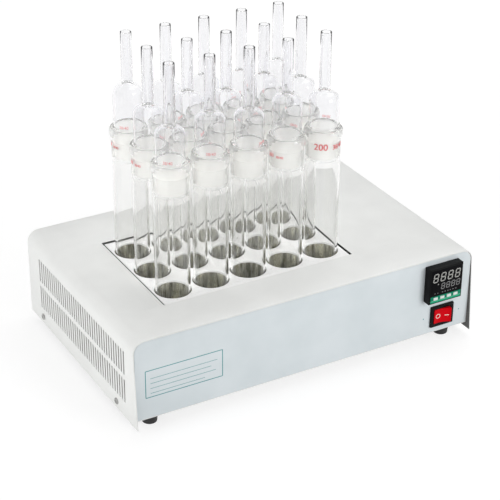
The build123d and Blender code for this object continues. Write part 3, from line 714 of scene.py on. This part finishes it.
first_x, first_y, pitch_x, pitch_y = -135.0, -58.5, 50, 54
wells = {
    f"r{row + 1}c{column + 1}": (first_x + pitch_x * column, first_y + pitch_y * row)
    for row in range(3) for column in range(5)
}
tube_foot, tube_radius, bead_radius, tube_inside = 45.5, 21, 23.25, 19
haze_foot, haze_top, ground_foot, rim = 200, 223, 201.6, 238
tube_skin = turned(rounded([
    (0, 0), (tube_radius, 0, 8), (tube_radius, haze_foot), (tube_radius, haze_top, 4),
    (bead_radius, 229.5, 4), (bead_radius, 235, 2.6), (21.6, rim, 1.5), (19.2, rim, 0.6),
    (17.38, ground_foot), (17.2, 198, 1.5), (tube_inside, 192, 4), (tube_inside, 2, 6), (0, 2),
]), sides=72)


def glassware(name, skin, spot, which, materials, node):
    """Piece of glass whose faces take the materials that an array of their numbers says."""
    shape = piece(name, placed(skin, spot), materials, node, [node])
    shape.data.polygons.foreach_set("material_index", which.astype(np.int32))
    shape.data.update()


def face_middles(skin):
    """Radius and height of the middle of each face, quads first."""
    points, quads, triangles = skin
    middle = np.concatenate([points[quads].mean(1), points[triangles].mean(1)])
    return np.hypot(middle[:, 0], middle[:, 1]), middle[:, 2]


radius, height = face_middles(tube_skin)
hazed = (radius > tube_radius - 0.1) & within(height, (haze_foot, haze_top))
ground = (radius < 19.25) & (height > ground_foot + 0.1)
tube_glasses = [tube_glass, ground_glass, hazed_glass]
for well, (x, y) in wells.items():
    glassware("digestion_tube_" + well, tube_skin, (x, y, tube_foot),
              np.where(hazed, 2, ground), tube_glasses, "tube_" + well)


def printed(runs):
    """Flat mesh of a line of print, from runs of (words, size, start)."""
    work, ink_half = bmesh.new(), 0.04
    for words, size, start in runs:
        lettering = bpy.data.curves.new("print", "FONT")
        lettering.body, lettering.size = words, size
        lettering.extrude = lettering.offset = ink_half
        letters = linked("print", lettering)
        flat = finished_mesh(letters)
        bpy.data.objects.remove(letters)
        flat.transform(Matrix.Translation((start, 0, 0)))
        work.from_mesh(flat)
    bmesh.ops.remove_doubles(work, verts=work.verts, dist=1e-5)
    flat = bpy.data.meshes.new("print")
    work.to_mesh(flat)
    work.free()
    return flat


fired = finish("fired_red", screen(196, 22, 34), screen(212, 40, 50), (0.3, 0.45), cloud=0.002)
worn = finish(
    "fired_red_worn", screen(216, 132, 134), screen(226, 156, 156), (0.3, 0.45), cloud=0.002
)
to_viewer = -119.5


def fired_mark(name, flat, spot, radius, turn, size, body, colour):
    """Wraps flat print round upright glass: angle = direction of the viewer + turn + x / radius,
    height = z + y."""
    mesh, lift = flat.copy(), 0.02
    points = np.zeros(len(mesh.vertices) * 3)
    mesh.vertices.foreach_get("co", points)
    along, upward, outward = points.reshape(-1, 3).T * np.array((size, size, 1.0))[:, None]
    angle, reach = radians(to_viewer + turn) + along / radius, radius + lift + outward
    x, y, z = spot
    bent = np.stack([x + reach * np.cos(angle), y + reach * np.sin(angle), z + upward], -1)
    mesh.vertices.foreach_set("co", (bent / 1000).ravel())
    mesh.update()
    mesh.materials.append(colour)
    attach(linked(name, mesh), body)


tube_print = printed([("200", 6.0, -11.5), ("38/40", 4.2, 0.5)])
tube_turns = {
    "r1c1": 150, "r1c2": 165, "r1c3": 140, "r1c4": -38, "r1c5": 27,
    "r2c1": -53, "r2c5": 60, "r3c1": -60,
}
strong, large_size, mark_height = ("r1c4", "r1c5", "r2c1", "r3c1"), {"r1c5": 1.9}, 215.5
for number, (well, (x, y)) in enumerate(wells.items()):
    fired_mark(
        "size_mark_" + well, tube_print, (x, y, tube_foot + mark_height), tube_radius,
        tube_turns.get(well, 97 * number), large_size.get(well, 1.0),
        "tube_" + well, fired if well in strong else worn,
    )


# ---- Condensers ----
# One hollow piece of glass each: a ground cone that sits in the tube's socket, a bulb and an
# open neck. They are drawn by hand, so the shoulders sit some millimetres higher or lower.
still_glass = clear(
    "condenser_glass", (screen(248, 248, 249), screen(252, 252, 253)), (0.0, 0.01),
    transmission=1.0, shade=0.97,
)
cone_foot, bulb_radius, bulb_inside = 243.5, 17.75, 16.15
neck_radius, neck_inside, neck_top = 6.5, 4.75, 156.5
shoulders = {
    "r1c1": -3.5, "r1c2": 3.5, "r1c3": -3.0, "r1c4": 4.5, "r2c1": 0.5, "r2c2": 7.5, "r2c3": -0.5,
    "r2c4": 9.5, "r2c5": -4.5, "r3c1": 7.5, "r3c2": 1.0, "r3c4": -6.0,
}
for well, (x, y) in wells.items():
    drawn = shoulders.get(well, -1.5)
    skin = turned(rounded([
        (17, 0, 0.3), (17.19, 3.7), (19, 40, 1.2), (bulb_radius, 42.5, 2),
        (bulb_radius, 82 + drawn, 9), (neck_radius, 86 + drawn, 4), (neck_radius, neck_top, 0.5),
        (neck_inside, neck_top, 0.5), (neck_inside, 84.4 + drawn, 3),
        (bulb_inside, 80.4 + drawn, 8), (bulb_inside, 40, 2), (15.4, 0, 0.3),
    ]), sides=72)
    radius, height = face_middles(skin)
    cone = (radius > 16.7) & within(height, (3.8, 40.5))
    glassware("air_condenser_" + well, skin, (x, y, cone_foot),
              cone, [still_glass, ground_glass], "condenser_" + well)

cone_print = printed([("38/40", 5.0, -7.0)])
cone_turns = {"r1c1": -4, "r1c2": 8, "r1c3": 62, "r1c4": 150, "r1c5": 170, "r2c1": 140}
for number, (well, (x, y)) in enumerate(wells.items()):
    fired_mark(
        "cone_mark_" + well, cone_print, (x, y, cone_foot + 43), bulb_radius,
        cone_turns.get(well, 71 * number), 1.0, "condenser_" + well, worn,
    )


# ---- Floor, light and camera ----
# A plain white floor that keeps a soft shadow, broad soft lamps from the left, the front and
# above, and two grey cards out of view that glass and gloss mirror at their edges.
def stage_plane(name, corners, material):
    """Flat four-cornered sheet of the studio, in metres."""
    mesh = bpy.data.meshes.new(name)
    mesh.from_pydata(corners, [], [(0, 1, 2, 3)])
    mesh.materials.append(material)
    sheet = linked(name, mesh)
    return sheet


def seen_or_shown(tree):
    """1 for rays from the camera and those that gloss and glass send on."""
    path = put(tree, "LightPath").outputs
    kind = path["Is Camera Ray"]
    for other in ("Is Glossy Ray", "Is Transmission Ray"):
        kind = put(tree, "Math", {0: kind, 1: path[other]}, operation="MAXIMUM").outputs[0]
    return kind


floor_white = bpy.data.materials.new("floor_white")
floor_white.use_nodes = True
tree = floor_white.node_tree
tree.nodes.remove(tree.nodes["Principled BSDF"])
seen = seen_or_shown(tree)
lit_grey, seen_grey = (0.8, 0.8, 0.8, 1.0), (0.34, 0.34, 0.34, 1.0)
matt = put(tree, "BsdfDiffuse", {"Color": mixed(tree, seen, lit_grey, seen_grey)})
# Far from the lamps the floor glows a little more, so that it stays as white as the backdrop.
spot = put(tree, "TexCoord").outputs["Object"]
away = put(tree, "VectorMath", {0: spot}, operation="LENGTH").outputs["Value"]
glow = spread(tree, away, start=0.8, end=2.5, low=0.73, high=0.87)
strength = put(tree, "Math", {0: seen, 1: glow}, operation="MULTIPLY").outputs[0]
bright = put(tree, "Emission", {"Strength": strength})
both = put(tree, "AddShader", {0: matt.outputs[0], 1: bright.outputs[0]})
tree.links.new(both.outputs[0], tree.nodes["Material Output"].inputs["Surface"])
floor_half = 8
corners = [(-1, -1, 0), (1, -1, 0), (1, 1, 0), (-1, 1, 0)]
stage_plane("floor", [(x * floor_half, y * floor_half, z) for x, y, z in corners], floor_white)

card_grey = bpy.data.materials.new("card_grey")
card_grey.use_nodes = True
shader = card_grey.node_tree.nodes["Principled BSDF"]
shader.inputs["Base Color"].default_value = (0.35, 0.35, 0.35, 1.0)
shader.inputs["Roughness"].default_value = 1.0
card_y, card_z = (-0.5, 0.9), (0.1, 1.1)
for name, x in (("card_left", -1.1), ("card_right", 1.1)):
    card = stage_plane(name, [
        (x, card_y[0], card_z[0]), (x, card_y[1], card_z[0]),
        (x, card_y[1], card_z[1]), (x, card_y[0], card_z[1]),
    ], card_grey)
    card.visible_camera = card.visible_diffuse = False
    card.visible_shadow = card.visible_transmission = False

world = bpy.data.worlds.new("studio")
bpy.context.scene.world = world
world.use_nodes = True
tree = world.node_tree
dim = tree.nodes["Background"]
dim.inputs["Color"].default_value = (1.0, 1.0, 1.0, 1.0)
dim.inputs["Strength"].default_value = 0.42
white = put(tree, "Background", {"Color": (1.0, 1.0, 1.0, 1.0), "Strength": 1.0})
pick = put(tree, "MixShader", {0: seen_or_shown(tree), 1: dim.outputs[0], 2: white.outputs[0]})
tree.links.new(pick.outputs[0], tree.nodes["World Output"].inputs["Surface"])


def soft_lamp(name, place, side, power):
    """Square lamp turned towards the middle of the instrument, and not seen through glass."""
    lamp = bpy.data.lights.new(name, "AREA")
    lamp.size, lamp.energy = side, power
    held = linked(name, lamp)
    held.location = place
    beam = Vector((0, 0, 0.1)) - Vector(place)
    held.rotation_euler = beam.to_track_quat("-Z", "Y").to_euler()
    held.visible_transmission = False


soft_lamp("left_lamp", (-2.4, -0.1, 0.6), side=1.4, power=29)
soft_lamp("front_lamp", (1.1, -2.3, 0.9), side=1.4, power=32)
soft_lamp("top_lamp", (0.9, 0.6, 2.1), side=1.6, power=16)

# The camera's own axes: back towards the viewer, level and steep across it, rolled together.
azimuth, elevation, roll = radians(-29.5344), radians(28.5645), radians(0.412)
back = Vector((sin(azimuth) * cos(elevation), -cos(azimuth) * cos(elevation), sin(elevation)))
level = (-back).cross(Vector((0, 0, 1))).normalized()
steep = level.cross(-back)
across, upward = level * cos(roll) + steep * sin(roll), steep * cos(roll) - level * sin(roll)
stand, aim = Vector((-0.84628, -1.4950, 1.04242)), Matrix((across, upward, back)).transposed()
lens = bpy.data.cameras.new("camera")
lens.lens, lens.sensor_width, lens.clip_end = 114.378, 36.0, 50.0
camera = linked("camera", lens)
camera.matrix_world = Matrix.Translation(stand) @ aim.to_4x4()
bpy.context.scene.camera = camera

bpy.context.scene.view_settings.view_transform = "Standard"
paths, through_glass = bpy.context.scene.cycles, 40
paths.max_bounces = paths.transmission_bounces = through_glass
paths.glossy_bounces = paths.transparent_max_bounces = through_glass
